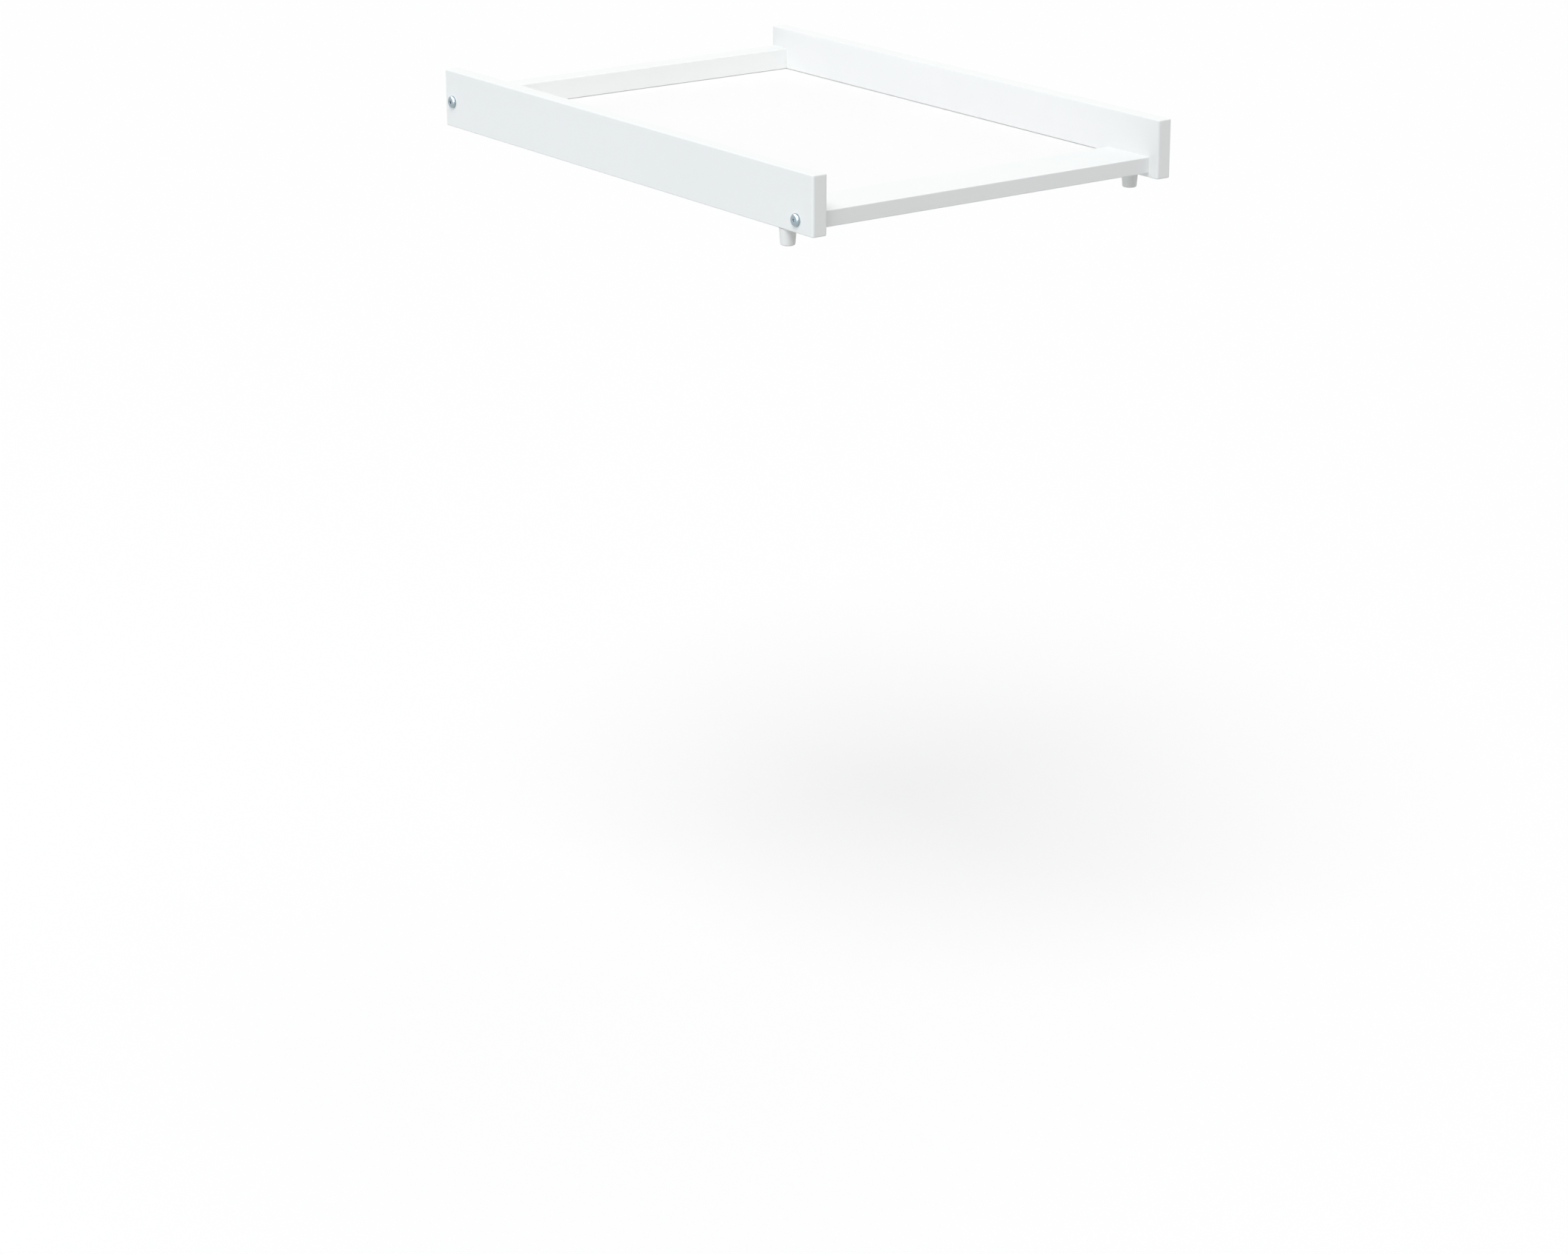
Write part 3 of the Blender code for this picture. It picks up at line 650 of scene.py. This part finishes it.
def dowel(side_name, material):
    """A fluted dowel with chamfered ends."""
    node = f"dowel_{side_name}"
    low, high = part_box(node)
    length = high.x - low.x
    outside = (high.z - low.z) / 2
    bm = bmesh.new()
    rings = []
    for inset, height in ((DOWEL_CHAMFER, 0), (0, DOWEL_CHAMFER), (0, length - DOWEL_CHAMFER),
                          (DOWEL_CHAMFER, length)):
        rings.append(ring(bm, lambda share: outside - inset - DOWEL_FLUTE_DEPTH
                          * (1 - math.cos(DOWEL_FLUTES * math.tau * share)) / 2,
                          height, DOWEL_FLUTES * POINTS_PER_FLUTE))
    skin_with_ends(bm, rings)
    pin = new_piece(f"fluted_{node}", bm, material)
    pin.rotation_euler = ACROSS.to_track_quat("Z", "Y").to_euler()
    middle = (low + high) / 2
    pin.location = (low.x, middle.y, middle.z)
    stand_for(node, pin)


def locating_peg(side_name, material):
    """A tapered peg with a rounded tip, bored and countersunk from below."""
    node = f"peg_{side_name}"
    low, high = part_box(node)
    top = high.z
    neck = PEG_MOUTH_RADIUS - PEG_SCREW_HOLE_RADIUS
    tip = arc((PEG_TIP_RADIUS - PEG_ROUNDING, PEG_ROUNDING), (PEG_ROUNDING, PEG_ROUNDING), -90, 0)
    profile = [(PEG_SCREW_HOLE_RADIUS, top), (PEG_SCREW_HOLE_RADIUS, neck), (PEG_MOUTH_RADIUS, 0), *tip,
               ((high.x - low.x) / 2, top)]
    peg = new_piece(f"moulded_{node}", turned(profile, PEG_SEGMENTS, bored=True), material)
    middle = (low + high) / 2
    peg.location = (middle.x, middle.y, 0)
    stand_for(node, peg)


def wood_screw(node, radius, material):
    """A countersunk wood screw, point up: cross recess, plain neck and coarse thread down to the point."""
    low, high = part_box(node)
    length = high.z - low.z
    head = (high.x - low.x) / 2
    core = radius * SCREW_CORE_SHARE
    neck = SCREW_RIM + head - core
    screw = new_piece(f"threaded_{node}", turned([(head, 0), (head, SCREW_RIM), (core, neck)], HEAD_SEGMENTS),
                      material)
    arm = head / 2
    blades = []
    for reach in ((arm, RECESS_WIDTH / 2), (RECESS_WIDTH / 2, arm)):
        corner = Vector((*reach, 0))
        blades.append(block(-corner - UP * CUT_OVERRUN, corner + UP * RECESS_DEPTH))
    take_out(screw, [new_piece("recess", blade, material) for blade in blades])

    def taper(height):
        return max(0, min(1, (length - height) / SCREW_POINT_LENGTH))

    add_thread(screw, neck, length, 2 * radius * SCREW_PITCH_SHARE,
               lambda height: SCREW_POINT_RADIUS + (radius - SCREW_POINT_RADIUS) * taper(height),
               lambda height: SCREW_POINT_RADIUS + (core - SCREW_POINT_RADIUS) * taper(height))
    middle = (low + high) / 2
    screw.location = (middle.x, middle.y, low.z)
    stand_for(node, screw)


def seen_or_mirrored(tree):
    """One where a ray comes from the camera, a mirror or glass, and zero where it only lights the object."""
    path = add(tree, "LightPath")
    mirrored = add(tree, "Math", {0: path.outputs["Is Glossy Ray"], 1: path.outputs["Is Transmission Ray"]},
                   operation="MAXIMUM")
    return add(tree, "Math", {0: path.outputs["Is Camera Ray"], 1: mirrored.outputs[0]},
               operation="MAXIMUM").outputs[0]


def studio_dome():
    """A dome of soft light, brightest at the left and the upper right, and plain white where it is seen."""
    world = bpy.data.worlds.new("studio_dome")
    world.use_nodes = True
    tree = world.node_tree
    tree.nodes.clear()
    sky = add(tree, "TexCoord").outputs["Generated"]
    sides = []
    for middle, level, colour in DOME_SIDES:
        nearness = add(tree, "VectorMath", {0: sky, 1: middle}, operation="DOT_PRODUCT").outputs["Value"]
        amount = add(tree, "MapRange", {"Value": nearness, "To Max": level}).outputs[0]
        side = add(tree, "VectorMath", {0: linear(colour)[:3], "Scale": amount}, operation="SCALE")
        sides.append(side.outputs[0])
    light = add(tree, "VectorMath", {0: sides[0], 1: sides[1]}, operation="ADD").outputs[0]
    shown = add(tree, "Mix", {0: seen_or_mirrored(tree), MIX_A: light, MIX_B: linear(WHITE)},
                data_type="RGBA").outputs[MIX_RESULT]
    dome = add(tree, "Background", {"Color": shown})
    add(tree, "OutputWorld", {"Surface": dome.outputs[0]})
    bpy.context.scene.world = world


def studio_floor():
    """A pale floor that keeps the tray's shadow and is white elsewhere to the camera."""
    bm = bmesh.new()
    bmesh.ops.create_grid(bm, x_segments=1, y_segments=1, size=FLOOR_SIZE / 2)
    bmesh.ops.translate(bm, vec=UP * FLOOR_LEVEL, verts=bm.verts)
    material, tree, _ = new_finish("painted_floor")
    paint = add(tree, "BsdfDiffuse", {"Color": linear(FLOOR_PAINT)})
    lift = add(tree, "Math", {0: seen_or_mirrored(tree), 1: FLOOR_GLOW}, operation="MULTIPLY")
    glow = add(tree, "Emission", {"Color": linear(WHITE), "Strength": lift.outputs[0]})
    both = add(tree, "AddShader", {0: paint.outputs[0], 1: glow.outputs[0]})
    add(tree, "OutputMaterial", {"Surface": both.outputs[0]})
    new_piece("studio_floor", bm, material)


def place_lamp(name, light, direction, distance, colour):
    """Set a lamp up so that it faces the tray from a direction and isn't seen itself."""
    light.color = linear(colour)[:3]
    lamp = bpy.data.objects.new(name, light)
    lamp.location = Vector(direction).normalized() * distance
    lamp.rotation_euler = Vector(direction).to_track_quat("Z", "Y").to_euler()
    lamp.visible_camera = False
    bpy.context.scene.collection.objects.link(lamp)
    return lamp


def studio_lamps():
    """A wide key from the upper left, a low fill from the left, and an overhead softbox the bolts mirror."""
    key = bpy.data.lights.new("key", "SUN")
    key.angle = math.radians(KEY_SPREAD)
    key.energy = KEY_STRENGTH
    place_lamp("key", key, KEY_FROM, KEY_DISTANCE, KEY_COLOUR)
    fill = bpy.data.lights.new("low_fill", "AREA")
    fill.size = FILL_SIZE
    fill.energy = FILL_WATTS
    place_lamp("low_fill", fill, FILL_FROM, FILL_DISTANCE, FILL_COLOUR)
    softbox = bpy.data.lights.new("softbox", "AREA")
    softbox.size = SOFTBOX_SIZE
    softbox.energy = SOFTBOX_WATTS
    overhead = place_lamp("softbox", softbox, SOFTBOX_FROM, SOFTBOX_DISTANCE, WHITE)
    overhead.visible_diffuse = False
    bolts = bpy.data.collections.new("bolts")
    for piece in bpy.data.objects:
        if piece.name.startswith("threaded_bolt"):
            bolts.objects.link(piece)
    overhead.light_linking.receiver_collection = bolts


def product_camera():
    """The camera of the photograph: from the front left, a little above the tray."""
    lens = bpy.data.cameras.new("product_camera")
    lens.sensor_width = SENSOR
    lens.lens = LENS
    camera = bpy.data.objects.new("product_camera", lens)
    camera.location = EYE
    camera.rotation_euler = (math.radians(90 - DOWNWARD), 0, math.radians(TURN))
    bpy.context.scene.collection.objects.link(camera)
    bpy.context.scene.camera = camera


finishes = {"lacquer": polyurethane_lacquer(), "panel": faced_fibreboard(), "raw": raw_fibreboard()}
nylon = moulded_nylon()
zinc = zinc_plated_steel()
beech = raw_beech()

front_rail(finishes)
rear_rail(finishes)
base_panel(finishes)
for side_name in SIDES:
    side_board(side_name, finishes)
    dowel(side_name, beech)
    locating_peg(side_name, nylon)
    wood_screw(f"peg_screw_{side_name}", PEG_SCREW_RADIUS, zinc)
    for end in ENDS:
        connector_bolt(end, side_name, zinc)
        barrel_nut(end, side_name, zinc)
for screw in PANEL_SCREWS:
    wood_screw(screw, PANEL_SCREW_RADIUS, zinc)

studio_dome()
studio_floor()
studio_lamps()
product_camera()
bpy.context.scene.view_settings.view_transform = "Standard"
